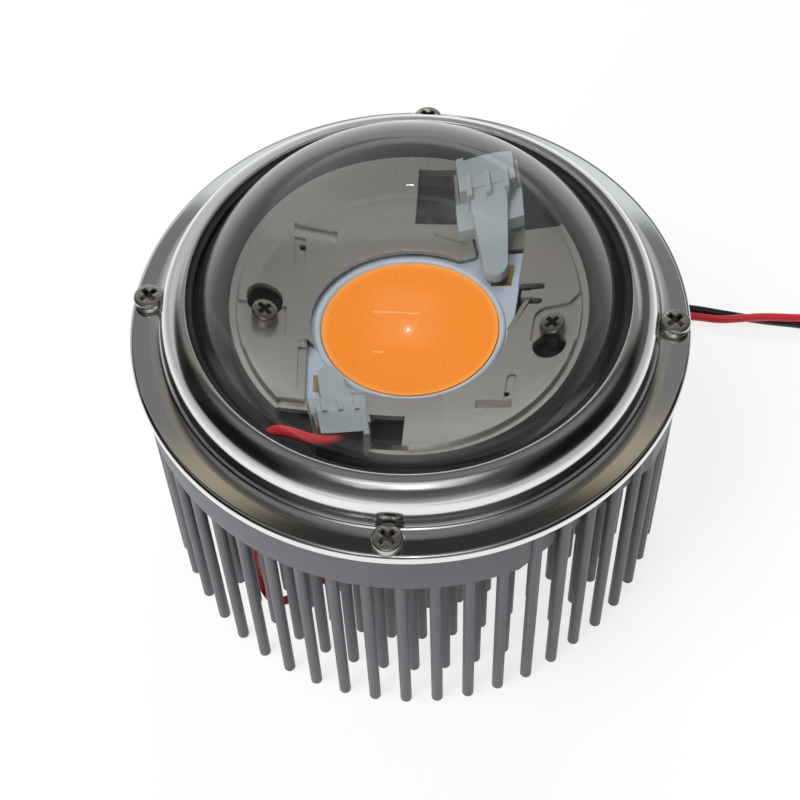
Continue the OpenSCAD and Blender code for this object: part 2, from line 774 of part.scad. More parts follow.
heat_sink();
thermal_pad();
chip_substrate();
chip_dam();
chip_phosphor();
chip_contact_pads();
holder_frame();
holder_screws();
positive_terminal();
negative_terminal();
positive_contact();
negative_contact();
lens();
lens_gasket();
bezel_ring();
bezel_screws();
positive_lead();
negative_lead();
positive_lead_tip();
negative_lead_tip();
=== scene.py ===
"""Looks of a chip-on-board LED lamp head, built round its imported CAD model.

The pin-fin heat sink, the chip, its stamped holder and the terminals keep their CAD solids
and get procedural finishes. The lens, the gasket and the bezel are turned again with a finer
section, because glass and polished metal show every facet. The two leads are curves that
follow the routes of the CAD leads.
"""

import json
import logging
import math
from dataclasses import dataclass
from enum import Enum
from typing import Any, Iterable, Sequence

import bmesh
import bpy
from mathutils import Matrix, Vector

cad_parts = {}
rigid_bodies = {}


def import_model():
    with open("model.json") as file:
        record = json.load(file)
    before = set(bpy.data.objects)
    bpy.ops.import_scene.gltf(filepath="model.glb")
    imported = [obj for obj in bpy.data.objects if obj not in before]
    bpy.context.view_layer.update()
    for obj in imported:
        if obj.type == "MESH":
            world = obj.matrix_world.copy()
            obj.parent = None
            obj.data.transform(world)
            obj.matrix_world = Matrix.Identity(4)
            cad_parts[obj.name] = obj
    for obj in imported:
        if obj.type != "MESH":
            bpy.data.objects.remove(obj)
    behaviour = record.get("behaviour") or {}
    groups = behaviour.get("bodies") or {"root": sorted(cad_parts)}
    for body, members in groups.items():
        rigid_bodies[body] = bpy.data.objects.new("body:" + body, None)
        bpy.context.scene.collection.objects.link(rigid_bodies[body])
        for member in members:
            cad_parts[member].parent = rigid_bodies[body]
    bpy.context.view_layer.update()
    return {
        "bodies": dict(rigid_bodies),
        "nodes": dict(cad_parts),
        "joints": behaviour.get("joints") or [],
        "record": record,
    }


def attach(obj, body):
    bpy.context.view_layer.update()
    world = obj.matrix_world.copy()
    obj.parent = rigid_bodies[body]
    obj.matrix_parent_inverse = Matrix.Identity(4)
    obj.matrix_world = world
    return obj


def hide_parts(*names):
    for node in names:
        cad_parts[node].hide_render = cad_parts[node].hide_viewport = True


log = logging.getLogger("lamp_head")

Point2 = tuple[float, float]
Point3 = tuple[float, float, float]
Colour = tuple[float, float, float]

MILLIMETRE = 0.001
ROOT_BODY = "root"

# Angles in degrees.
RIGHT_ANGLE = 90
HALF_TURN = 180.0

BLACK = (0.0, 0.0, 0.0)
WHITE = (1.0, 1.0, 1.0)

# Values between which most of a noise texture lies, and places of two colours on its ramp.
NOISE_RANGE = (0.3, 0.7)
PATCH_STOPS = (0.35, 0.65)

# Octaves of a fine grain.
FINE_DETAIL = 2.0

# Samples of the node that finds recesses for the painted shade.
PAINTED_SHADE_SAMPLES = 8

# Places of the factor, the two colours and their blend on a Mix node.
MIX_FACTOR, MIX_FIRST, MIX_SECOND, MIX_RESULT = 0, 6, 7, 2

# Distances in metres under which points are one point.
SPIN_WELD = 1e-7
SOLID_WELD = 1e-6

# Angle in degrees from which an edge of a CAD solid is rounded.
ROUNDED_FROM = 30.0


class Slot(Enum):
    """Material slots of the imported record."""

    LENS = "lens"
    GASKET = "lens_gasket"
    BEZEL = "bezel_ring"
    POSITIVE_LEAD = "positive_lead"
    NEGATIVE_LEAD = "negative_lead"


class Ray(Enum):
    """Kinds of ray that a Light Path node tells apart."""

    CAMERA = "Is Camera Ray"
    SHADOW = "Is Shadow Ray"
    GLOSSY = "Is Glossy Ray"
    TRANSMISSION = "Is Transmission Ray"


class NodeSheet:
    """A node tree under construction, with short calls to add and join nodes."""

    def __init__(self, tree: bpy.types.NodeTree) -> None:
        """Empties the node tree of a material or of the world and starts on it."""
        self.tree = tree
        tree.nodes.clear()

    def add(self, kind: str, settings: dict[str, Any] | None = None, **inputs: Any) -> bpy.types.Node:
        """Adds a node.

        Args:
            kind: The node's type name, such as ShaderNodeTexNoise.
            settings: Properties of the node itself.
            **inputs: Values or sockets for its inputs; an underscore stands for a space.

        Returns:
            The new node.
        """
        node = self.tree.nodes.new(kind)
        for name, value in (settings or {}).items():
            setattr(node, name, value)
        for name, value in inputs.items():
            self.feed(node.inputs[name.replace("_", " ")], value)
        return node

    def feed(self, socket: bpy.types.NodeSocket, value: Any) -> None:
        """Sets an input to a value, or joins it to an output socket.

        Args:
            socket: The input.
            value: A number, colour or vector, or another node's output socket.
        """
        if isinstance(value, bpy.types.NodeSocket):
            self.tree.links.new(value, socket)
        elif isinstance(value, tuple) and len(value) == 3 and socket.type == "RGBA":
            socket.default_value = (*value, 1.0)
        else:
            socket.default_value = value

    def math(self, operation: str, a: Any, b: Any = 0.0) -> bpy.types.NodeSocket:
        """Adds a Math node.

        Args:
            operation: The node's operation.
            a: First value or socket.
            b: Second value or socket.

        Returns:
            The result's socket.
        """
        node = self.add("ShaderNodeMath", {"operation": operation})
        self.feed(node.inputs[0], a)
        self.feed(node.inputs[1], b)
        return node.outputs[0]

    def object_point(self) -> bpy.types.NodeSocket:
        """The point on the piece in its own frame."""
        return self.add("ShaderNodeTexCoord").outputs["Object"]

    def stretched(self, scale: Point3) -> bpy.types.NodeSocket:
        """The point on the piece, stretched by factors along X, Y and Z."""
        return self.add("ShaderNodeMapping", Vector=self.object_point(), Scale=scale).outputs["Vector"]

    def noise(self, point: Any, scale: float, detail: float = 3.0,
              roughness: float = 0.55) -> bpy.types.NodeSocket:
        """Adds a noise texture.

        Args:
            point: Socket of the point to read.
            scale: Cells per metre.
            detail: Octaves.
            roughness: Share that each octave keeps.

        Returns:
            The noise value's socket.
        """
        node = self.add("ShaderNodeTexNoise", Vector=point, Scale=scale, Detail=detail,
                        Roughness=roughness)
        return node.outputs["Fac"]

    def ramp(self, factor: Any, stops: Sequence[tuple[float, Colour]]) -> bpy.types.NodeSocket:
        """Adds a colour ramp.

        Args:
            factor: Socket that drives the ramp.
            stops: Places from 0 to 1 with their colours.

        Returns:
            The colour's socket.
        """
        node = self.add("ShaderNodeValToRGB")
        self.feed(node.inputs["Fac"], factor)
        elements = node.color_ramp.elements
        while len(elements) < len(stops):
            elements.new(1.0)
        for element, (place, colour) in zip(elements, stops):
            element.position = place
            element.color = (*colour, 1.0)
        return node.outputs["Color"]

    def spread(self, factor: Any, low: float, high: float) -> bpy.types.NodeSocket:
        """Maps a noise value evenly, so that it mostly lies between low and high."""
        return self._mapped("LINEAR", factor, NOISE_RANGE, (low, high))

    def between(self, value: Any, source: Point2, result: Point2) -> bpy.types.NodeSocket:
        """Maps a value smoothly from the source's range to the result's."""
        return self._mapped("SMOOTHSTEP", value, source, result)

    def _mapped(self, way: str, value: Any, source: Point2, result: Point2) -> bpy.types.NodeSocket:
        """Adds a Map Range node.

        Args:
            way: The node's interpolation.
            value: Socket to map.
            source: Values at which the result starts and ends.
            result: Result at those two values.

        Returns:
            The mapped value's socket.
        """
        node = self.add("ShaderNodeMapRange", {"interpolation_type": way}, Value=value,
                        From_Min=source[0], From_Max=source[1], To_Min=result[0], To_Max=result[1])
        return node.outputs["Result"]

    def mixed(self, factor: Any, first: Any, second: Any) -> bpy.types.NodeSocket:
        """Blends two colours.

        Args:
            factor: Socket of the second colour's share.
            first: Colour or socket at a share of 0.
            second: Colour or socket at a share of 1.

        Returns:
            The blended colour's socket.
        """
        node = self.add("ShaderNodeMix", {"data_type": "RGBA"})
        for place, value in ((MIX_FACTOR, factor), (MIX_FIRST, first), (MIX_SECOND, second)):
            self.feed(node.inputs[place], value)
        return node.outputs[MIX_RESULT]

    def layered(self, factor: Any, first: Any, second: Any) -> bpy.types.NodeSocket:
        """Blends two shaders.

        Args:
            factor: Socket of the second shader's share.
            first: Socket of the shader at a share of 0.
            second: Socket of the shader at a share of 1.

        Returns:
            The blended shader's socket.
        """
        node = self.add("ShaderNodeMixShader", Fac=factor)
        self.feed(node.inputs[1], first)
        self.feed(node.inputs[2], second)
        return node.outputs["Shader"]

    def grey(self, level: Any) -> bpy.types.NodeSocket:
        """The grey of a brightness."""
        return self.add("ShaderNodeCombineXYZ", X=level, Y=level, Z=level).outputs["Vector"]

    def height(self) -> bpy.types.NodeSocket:
        """The point's height above the pin tips."""
        return self.add("ShaderNodeSeparateXYZ", Vector=self.object_point()).outputs["Z"]

    def scaled(self, colour: Any, factor: Any) -> bpy.types.NodeSocket:
        """Multiplies a colour by a factor.

        Args:
            colour: Socket of the colour.
            factor: Socket of the factor.

        Returns:
            The product's socket.
        """
        node = self.add("ShaderNodeVectorMath", {"operation": "SCALE"})
        self.feed(node.inputs[0], colour)
        self.feed(node.inputs["Scale"], factor)
        return node.outputs["Vector"]

    def axis_distance(self) -> bpy.types.NodeSocket:
        """Works out how far the point is from the lamp's axis.

        Returns:
            The distance's socket.
        """
        flat = self.stretched((1.0, 1.0, 0.0))
        reach = self.add("ShaderNodeVectorMath", {"operation": "LENGTH"})
        self.feed(reach.inputs[0], flat)
        return reach.outputs["Value"]

    def bump(self, height: Any, distance: float) -> bpy.types.NodeSocket:
        """The normal bent by a height, whose value of 1 is the distance in metres."""
        node = self.add("ShaderNodeBump", Height=height, Strength=1.0, Distance=distance)
        return node.outputs["Normal"]

    def surface(self, shader: bpy.types.NodeSocket) -> None:
        """Joins a shader to the material's output."""
        self.add("ShaderNodeOutputMaterial", Surface=shader)


def new_material(name: str) -> tuple[bpy.types.Material, NodeSheet]:
    """Makes an empty node material.

    Args:
        name: The material's name.

    Returns:
        The material and the sheet of its node tree.
    """
    material = bpy.data.materials.new(name)
    material.use_nodes = True
    return material, NodeSheet(material.node_tree)


@dataclass(frozen=True)
class MetalFinish:
    """A bare, plated or anodised metal with faint mottling, and painted shade where asked.

    Attributes:
        name: The material's name.
        colour: Mean colour.
        shade: Colour of the darker patches.
        roughness: Mean roughness.
        roughness_spread: How far the patches change the roughness.
        metallic: Share of metallic reflection.
        patch_scale: Patches per metre.
        stretch: Stretch of the patches along X, Y and Z.
        polished_from: Height in metres from which the surface is lapped smooth and darkened by a
            painted shade, if it is.
        polished_roughness: Roughness of that lapped surface.
        top_painted_shade: Share of the colour that is left there, the painted shade of the top face.
        painted_shade_reach: Width in metres of the recesses that get a painted shade, in which the
            metal is darkened where light reaches less, or 0.
        painted_shade_level: Share of the colour that is left in that painted shade.
        painted_shade_open: Shares of open sky over a place between which the painted shade gives way.
    """

    name: str
    colour: Colour
    shade: Colour
    roughness: float
    roughness_spread: float = 0.05
    metallic: float = 1.0
    patch_scale: float = 60.0
    stretch: Point3 = (1.0, 1.0, 1.0)
    polished_from: float | None = None
    polished_roughness: float = 0.06
    top_painted_shade: float = 1.0
    painted_shade_reach: float = 0.0
    painted_shade_level: float = 0.08
    painted_shade_open: Point2 = (0.35, 0.8)

    def build(self) -> bpy.types.Material:
        """Makes the material.

        Returns:
            The material.
        """
        material, sheet = new_material(self.name)
        patches = sheet.noise(sheet.stretched(self.stretch), self.patch_scale)
        colour = sheet.ramp(patches, list(zip(PATCH_STOPS, (self.shade, self.colour))))
        # Painted shade: an ambient occlusion test darkens the colour in recesses and creases, where
        # less light would reach.
        if self.painted_shade_reach > 0.0:
            hollow = sheet.add("ShaderNodeAmbientOcclusion",
                               {"samples": PAINTED_SHADE_SAMPLES, "only_local": True},
                               Distance=self.painted_shade_reach)
            painted_shade_factor = sheet.between(hollow.outputs["AO"], self.painted_shade_open, (self.painted_shade_level, 1.0))
            colour = sheet.scaled(colour, painted_shade_factor)
        rough = sheet.spread(patches, self.roughness + self.roughness_spread,
                             self.roughness - self.roughness_spread)
        if self.polished_from is not None:
            # Above that height the roughness is lapped, and the colour is darkened: a painted shade on
            # the top face.
            lapped = sheet.math("GREATER_THAN", sheet.height(), self.polished_from)
            shade = sheet.between(lapped, (0.0, 1.0), (1.0, self.top_painted_shade))
            colour = sheet.scaled(colour, shade)
            rest = sheet.math("MULTIPLY", rough, sheet.math("SUBTRACT", 1.0, lapped))
            rough = sheet.math("ADD", rest, sheet.math("MULTIPLY", lapped, self.polished_roughness))
        shader = sheet.add("ShaderNodeBsdfPrincipled", Base_Color=colour, Roughness=rough,
                           Metallic=self.metallic)
        sheet.surface(shader.outputs["BSDF"])
        return material


@dataclass(frozen=True)
class TurnedChromeFinish:
    """Polished ring metal: a mirror on the flange, softer on the turned bead.

    Attributes:
        name: The material's name.
        colour: Colour of the metal.
        flange_roughness: Roughness of the flat flange.
        bead_roughness: Roughness of the bead and its cove.
        flange_from: Distances from the axis in metres between which the flange's finish takes over.
        line_scale: Turning lines per metre of radius.
        line_spread: How far the turning lines change the roughness.
        least_roughness: Roughness that no line goes below.
    """

    name: str
    colour: Colour
    flange_roughness: float
    bead_roughness: float
    flange_from: Point2
    line_scale: float = 900.0
    line_spread: float = 0.015
    least_roughness: float = 0.02

    def build(self) -> bpy.types.Material:
        """Makes the material.

        Returns:
            The material.
        """
        material, sheet = new_material(self.name)
        reach = sheet.axis_distance()
        line = sheet.add("ShaderNodeCombineXYZ", X=reach, Y=sheet.height()).outputs["Vector"]
        lines = sheet.noise(line, self.line_scale, FINE_DETAIL)
        lines = sheet.spread(lines, -self.line_spread, self.line_spread)
        rough = sheet.between(reach, self.flange_from, (self.bead_roughness, self.flange_roughness))
        rough = sheet.math("MAXIMUM", sheet.math("ADD", rough, lines), self.least_roughness)
        shader = sheet.add("ShaderNodeBsdfPrincipled", Base_Color=self.colour, Roughness=rough,
                           Metallic=1.0)
        sheet.surface(shader.outputs["BSDF"])
        return material


@dataclass(frozen=True)
class MouldedFinish:
    """A moulded plastic, rubber or ceramic.

    Attributes:
        name: The material's name.
        colour: Mean colour.
        shade: Colour of the darker patches.
        roughness: Mean roughness.
        roughness_spread: How far the patches change the roughness.
        through: Share of light that goes into the body and comes out again.
        reach: Distance that this light goes, in metres.
        patch_scale: Patches per metre.
        grain_scale: Cells of the fine grain per metre.
        grain_depth: Height of the fine grain in metres.
    """

    name: str
    colour: Colour
    shade: Colour
    roughness: float
    roughness_spread: float = 0.04
    through: float = 0.0
    reach: float = 0.001
    patch_scale: float = 120.0
    grain_scale: float = 3000.0
    grain_depth: float = 0.00001

    def build(self) -> bpy.types.Material:
        """Makes the material.

        Returns:
            The material.
        """
        material, sheet = new_material(self.name)
        point = sheet.object_point()
        patches = sheet.noise(point, self.patch_scale)
        colour = sheet.ramp(patches, list(zip(PATCH_STOPS, (self.shade, self.colour))))
        rough = sheet.spread(patches, self.roughness + self.roughness_spread,
                             self.roughness - self.roughness_spread)
        grain = sheet.noise(point, self.grain_scale, FINE_DETAIL)
        shader = sheet.add("ShaderNodeBsdfPrincipled", Base_Color=colour, Roughness=rough,
                           Normal=sheet.bump(grain, self.grain_depth))
        shader.inputs["Subsurface Weight"].default_value = self.through
        shader.inputs["Subsurface Scale"].default_value = self.reach
        sheet.surface(shader.outputs["BSDF"])
        return material


@dataclass(frozen=True)
class PhosphorFinish:
    """The chip's phosphor fill: orange silicone with fine grains and a paler edge.

    Attributes:
        name: The material's name.
        colour: Colour of the fill.
        edge: Colour of the rim, where the fill is thin.
        grain: Colour of the darker grains.
        radius: Radius of the fill in metres.
        rim: Shares of the radius between which the fill turns to the edge's colour.
        grain_scale: Grains per metre.
        grain_stops: Noise values of the grains and of the fill.
        roughness: Roughness of the fill.
        gloss: Level of its clear reflection.
    """

    name: str
    colour: Colour
    edge: Colour
    grain: Colour
    radius: float
    rim: Point2 = (0.92, 0.985)
    grain_scale: float = 2600.0
    grain_stops: Point2 = (0.3, 0.5)
    roughness: float = 0.45
    gloss: float = 0.15

    def build(self) -> bpy.types.Material:
        """Makes the material.

        Returns:
            The material.
        """
        material, sheet = new_material(self.name)
        share = sheet.math("DIVIDE", sheet.axis_distance(), self.radius)
        grains = sheet.noise(sheet.object_point(), self.grain_scale, FINE_DETAIL)
        speckled = sheet.ramp(grains, list(zip(self.grain_stops, (self.grain, self.colour))))
        rim = sheet.ramp(share, list(zip(self.rim, (BLACK, WHITE))))
        shader = sheet.add("ShaderNodeBsdfPrincipled", Roughness=self.roughness,
                           Base_Color=sheet.mixed(rim, speckled, self.edge))
        shader.inputs["Specular IOR Level"].default_value = self.gloss
        sheet.surface(shader.outputs["BSDF"])
        return material


@dataclass(frozen=True)
class GlassFinish:
    """Clear lens glass that lets the lamps reach what is under it.

    Attributes:
        name: The material's name.
        tint: Colour of the glass.
        index: Index of refraction.
        roughness: Roughness of the polished faces.
        shadow: Share of each lamp's light that the glass lets through.
    """

    name: str
    tint: Colour
    index: float
    roughness: float
    shadow: Colour = (0.97, 0.97, 0.97)

    def build(self) -> bpy.types.Material:
        """Makes the material.

        Returns:
            The material.
        """
        material, sheet = new_material(self.name)
        glass = sheet.add("ShaderNodeBsdfPrincipled", Base_Color=self.tint, Roughness=self.roughness)
        glass.inputs["IOR"].default_value = self.index
        glass.inputs["Transmission Weight"].default_value = 1.0
        clear = sheet.add("ShaderNodeBsdfTransparent", Color=self.shadow)
        path = sheet.add("ShaderNodeLightPath")
        sheet.surface(sheet.layered(path.outputs[Ray.SHADOW.value], glass.outputs["BSDF"],
                                    clear.outputs["BSDF"]))
        return material


def arc_points(centre: Point2, radius: float, start: float, end: float, steps: int) -> list[Point2]:
    """Points of an arc in a turned section.

    Args:
        centre: Centre as radius and height.
        radius: Radius of the arc.
        start: First angle in degrees.
        end: Last angle in degrees.
        steps: Number of chords.

    Returns:
        The points, both ends included.
    """
    angles = [math.radians(start + (end - start) * i / steps) for i in range(steps + 1)]
    return [(centre[0] + radius * math.cos(a), centre[1] + radius * math.sin(a)) for a in angles]


def flowing_points(corners: Sequence[Point2], steps: int) -> list[Point2]:
    """Points of a curve that leaves along one side of its frame of corners and arrives along another.

    Args:
        corners: Start, the two corners that pull the curve, and end.
        steps: Number of chords.

    Returns:
        The points, both ends included.
    """
    first, near, far, last = (Vector(corner) for corner in corners)
    points = []
    for i in range(steps + 1):
        t = i / steps
        spot = first * (1 - t)**3 + near * 3 * t * (1 - t)**2 + far * 3 * t**2 * (1 - t) + last * t**3
        points.append((spot.x, spot.y))
    return points


def turned_mesh(name: str, section: Sequence[Point2], steps: int, closed: bool) -> bpy.types.Mesh:
    """Spins a section in millimetres about Z.

    Args:
        name: The mesh's name.
        section: Points as radius and height, in order.
        steps: Steps of the full turn.
        closed: Whether the last point joins the first.

    Returns:
        The mesh in metres, with its faces pointing outwards.
    """
    work = bmesh.new()
    verts = [work.verts.new((r * MILLIMETRE, 0.0, z * MILLIMETRE)) for r, z in section]
    pairs = list(zip(verts, verts[1:]))
    if closed:
        pairs.append((verts[-1], verts[0]))
    edges = [work.edges.new(pair) for pair in pairs]
    bmesh.ops.spin(work, geom=[*verts, *edges], cent=(0.0, 0.0, 0.0), axis=(0.0, 0.0, 1.0),
                   dvec=(0.0, 0.0, 0.0), angle=math.tau, steps=steps, use_merge=True)
    bmesh.ops.remove_doubles(work, verts=work.verts, dist=SPIN_WELD)
    bmesh.ops.recalc_face_normals(work, faces=work.faces)
    mesh = bpy.data.meshes.new(name)
    work.to_mesh(mesh)
    work.free()
    return mesh


def smooth_by_angle(mesh: bpy.types.Mesh, degrees: float) -> None:
    """Shades a mesh smooth, with creases where its faces turn by more than an angle.

    Args:
        mesh: The mesh.
        degrees: Angle from which an edge stays sharp.
    """
    mesh.shade_smooth()
    mesh.set_sharp_from_angle(angle=math.radians(degrees))


def place_piece(name: str, data: Any, material: bpy.types.Material,
                nodes: Iterable[str]) -> bpy.types.Object:
    """Adds a piece that stands for CAD nodes.

    Args:
        name: The piece's name.
        data: Its mesh or curve, in the row frame.
        material: Its finish.
        nodes: CAD nodes that it stands for.

    Returns:
        The piece.
    """
    piece = bpy.data.objects.new(name, data)
    bpy.context.scene.collection.objects.link(piece)
    data.materials.clear()
    data.materials.append(material)
    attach(piece, ROOT_BODY)
    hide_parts(*nodes)
    log.info("%s stands for %s", name, ", ".join(nodes))
    return piece


def dress_node(frame: dict[str, Any], name: str, material: bpy.types.Material,
               bevel: float = 0.0, segments: int = 2) -> None:
    """Gives a CAD node its finish, and rounds its edges where asked.

    Args:
        name: The node's name.
        material: Its finish.
        bevel: Width of the rounded edges in metres, or 0 for none.
        segments: Segments of each rounded edge.
    """
    node = frame["nodes"][name]
    node.data.materials.clear()
    node.data.materials.append(material)
    if bevel > 0.0:
        weld = node.modifiers.new("weld", "WELD")
        weld.merge_threshold = SOLID_WELD
        rounding = node.modifiers.new("rounded_edges", "BEVEL")
        rounding.width = bevel
        rounding.segments = segments
        rounding.limit_method = "ANGLE"
        rounding.angle_limit = math.radians(ROUNDED_FROM)
        rounding.harden_normals = True
    log.info("dressed %s with %s", name, material.name)


@dataclass
class Leads:
    """The two leads, as curves along the routes of their CAD solids.

    Attributes:
        diameter: Outer diameter in millimetres.
        positive_route: Points of the red lead in millimetres.
        negative_route: Points of the black lead in millimetres.
        round_steps: The curve's bevel resolution, which sets how finely the lead is rounded.
        run_steps: Steps between two points of a route.
        tip_bevel: Rounding of the bared ends in metres.
        tip_segments: Segments of that rounding.
    """

    diameter: float = 2.1
    positive_route: Sequence[Point3] = (
        (-11.1, -21.8, 70.3), (-10.4, -24.6, 70.3), (-10.6, -27.1, 70.3), (-11.8, -28.9, 70.3),
        (-13.8, -29.8, 70.3), (-15.8, -29.7, 70.2), (-18.5, -28.8, 70.1), (-21, -28, 69.8),
        (-23.2, -27.8, 69.2), (-24.7, -27.9, 67.6), (-25.3, -28.1, 65.4), (-25.3, -28.1, 54),
        (-27, -28.1, 43),
        (-30.6, -28.5, 33), (-34, -29.2, 22), (-35.2, -29.6, 12), (-35.2, -30, 6),
        (-34.6, -31, 2.6), (-33.2, -33, 1.3), (-31.2, -35, 1.2), (-28.6, -35.3, 1.2),
        (-26, -33.8, 1.2), (-22.4, -30.8, 1.2), (-18.4, -28.4, 1.2), (-14.3, -27, 1.2),
        (-9.3, -28, 1.2), (-2.6, -29.8, 1.2), (4.2, -29.7, 1.2), (10.7, -28, 1.2),
        (16.7, -24.8, 1.2), (21.9, -20.4, 1.2), (25.9, -15, 1.2), (28.6, -8.8, 1.2),
        (29.9, -2.1, 1.2), (29.6, 4.7, 1.2), (27.8, 11.2, 1.2), (25.2, 16.2, 1.2),
        (23.2, 20, 1.2), (22.9, 22.4, 1.2), (23.7, 24.8, 1.2), (25.8, 27.9, 1.2),
        (28.4, 30.9, 1.2), (32.4, 37.9, 1.2), (37.6, 44, 1.2), (41.7, 47.2, 1.2),
        (47.5, 50.8, 1.2), (54.5, 53.6, 1.2), (62, 55.2, 1.2), (69.3, 55.6, 1.2),
        (76.7, 54.4, 2.1), (82, 54.3, 3.1), (87, 54.6, 3.6), (97.3, 54.9, 3.6),
        (104, 56.2, 2.6), (110, 57.4, 1.2), (115, 58.4, 1.2))
    negative_route: Sequence[Point3] = (
        (11.1, 21.8, 70.3), (10.4, 24.6, 70.3), (10.2, 26.8, 69.7), (10.1, 28.4, 68.2),
        (10.1, 29, 66), (10.2, 29, 54), (11.4, 28.1, 42), (13.4, 27.3, 28),
        (15.3, 26.4, 15), (16.6, 26, 7), (17.3, 26.6, 3.6), (18.3, 28.1, 1.6),
        (19.6, 30.4, 1.2), (21.2, 32.9, 1.2), (23, 35.5, 1.2), (24.8, 38.8, 1.2),
        (26.5, 42.1, 1.2), (28.9, 45.4, 1.2), (31.8, 48.3, 1.2), (35.8, 51.8, 1.2),
        (41, 55.2, 1.2), (48, 57.6, 1.2), (56, 58.6, 1.2), (63, 58.5, 1.2),
        (69.3, 58.1, 1.2), (76.7, 57, 1.2), (87, 55.5, 1.2), (97.3, 54.6, 1.2),
        (106, 53.4, 1.2), (113, 52.2, 1.2))
    round_steps: int = 5
    run_steps: int = 6
    tip_bevel: float = 0.0002
    tip_segments: int = 3

    def build(self, frame: dict[str, Any], red: bpy.types.Material, black: bpy.types.Material,
              tin: bpy.types.Material) -> None:
        """Lays both leads and dresses their bared ends.

        Args:
            red: Finish of the positive lead.
            black: Finish of the negative lead.
            tin: Finish of the bared ends.
        """
        for tip in ("positive_lead_tip", "negative_lead_tip"):
            dress_node(frame, tip, tin, bevel=self.tip_bevel, segments=self.tip_segments)
        self._lay("positive_lead", self.positive_route, red)
        self._lay("negative_lead", self.negative_route, black)

    def _lay(self, node: str, route: Sequence[Point3],
             material: bpy.types.Material) -> None:
        """Lays one lead along its route.

        Args:
            node: CAD node of the lead.
            route: Points of the lead in millimetres.
            material: Finish of the insulation.
        """
        curve = bpy.data.curves.new(f"{node}_curve", "CURVE")
        curve.dimensions = "3D"
        curve.bevel_depth = self.diameter / 2 * MILLIMETRE
        curve.bevel_resolution = self.round_steps
        curve.resolution_u = self.run_steps
        curve.use_fill_caps = True
        spline = curve.splines.new("BEZIER")
        spline.bezier_points.add(len(route) - 1)
        for knot, place in zip(spline.bezier_points, route):
            knot.co = Vector(place) * MILLIMETRE
            knot.handle_left_type = "AUTO"
            knot.handle_right_type = "AUTO"
        piece = place_piece(f"{node}_insulation", curve, material, [node])


@dataclass
class Lens:
    """The domed lens, turned with a fine section.

    Lengths are in millimetres.

    Attributes:
        rim_radius: Outer radius of the rim.
        rim_low: Height of the rim's underside.
        rim_high: Height of the rim's top.
        rim_chamfer: Chamfer on the rim's top edge.
        dome_rise: Height of the dome above the rim.
        dome_foot: Radius where the dome meets the rim.
        centre_thickness: Thickness of the glass on the axis.
        hollow_radius: Radius of the hollow underside.
        hollow_steps: Chords of the hollow's arc.
        dome_steps: Chords of the dome's arc.
        turn_steps: Steps of the full turn.
        crease: Angle in degrees from which an edge stays sharp.
    """

    rim_radius: float = 49.0
    rim_low: float = 72.8
    rim_high: float = 77.0
    rim_chamfer: float = 0.6
    dome_rise: float = 29.0
    dome_foot: float = 45.0
    centre_thickness: float = 23.4
    hollow_radius: float = 103.0
    hollow_steps: int = 48
    dome_steps: int = 64
    turn_steps: int = 192
    crease: float = 25.0

    def section(self) -> list[Point2]:
        """Works out the section from the underside's pole to the dome's.

        Returns:
            Points as radius and height in millimetres.
        """
        dome_radius = (self.dome_foot**2 + self.dome_rise**2) / (2 * self.dome_rise)
        apex_z = self.rim_high + self.dome_rise
        dome_z = apex_z - dome_radius
        hollow_z = apex_z - self.centre_thickness - self.hollow_radius
        foot = math.degrees(math.asin((self.rim_low - hollow_z) / self.hollow_radius))
        under = arc_points((0.0, hollow_z), self.hollow_radius, RIGHT_ANGLE, foot, self.hollow_steps)
        rim = [(self.rim_radius, self.rim_low), (self.rim_radius, self.rim_high - self.rim_chamfer),
               (self.rim_radius - self.rim_chamfer, self.rim_high)]
        start = math.degrees(math.acos(self.dome_foot / dome_radius))
        dome = arc_points((0.0, dome_z), dome_radius, start, RIGHT_ANGLE, self.dome_steps)
        return [*under, *rim, *dome]

    def build(self, glass: bpy.types.Material) -> None:
        """Turns the lens.

        Args:
            glass: Its finish.
        """
        mesh = turned_mesh("lens_glass", self.section(), self.turn_steps, closed=False)
        smooth_by_angle(mesh, self.crease)
        place_piece("lens_glass", mesh, glass, ["lens"])


@dataclass
class Gasket:
    """The silicone ring round the lens rim.

    Attributes:
        section: Corners of its section as radius and height in millimetres.
        turn_steps: Steps of the full turn.
        crease: Angle in degrees from which an edge stays sharp.
    """

    section: Sequence[Point2] = (
        (45.4, 67.0), (50.4, 67.0), (50.4, 75.4), (48.8, 77.9), (45.6, 77.9), (45.4, 77.7),
        (45.4, 77.0), (48.45, 77.0), (49.05, 76.4), (49.05, 72.8), (45.4, 72.8))
    turn_steps: int = 160
    crease: float = 35.0

    def build(self, silicone: bpy.types.Material) -> None:
        """Turns the ring.

        Args:
            silicone: Its finish.
        """
        mesh = turned_mesh("gasket_ring", list(self.section), self.turn_steps, closed=True)
        smooth_by_angle(mesh, self.crease)
        place_piece("gasket_ring", mesh, silicone, ["lens_gasket"])


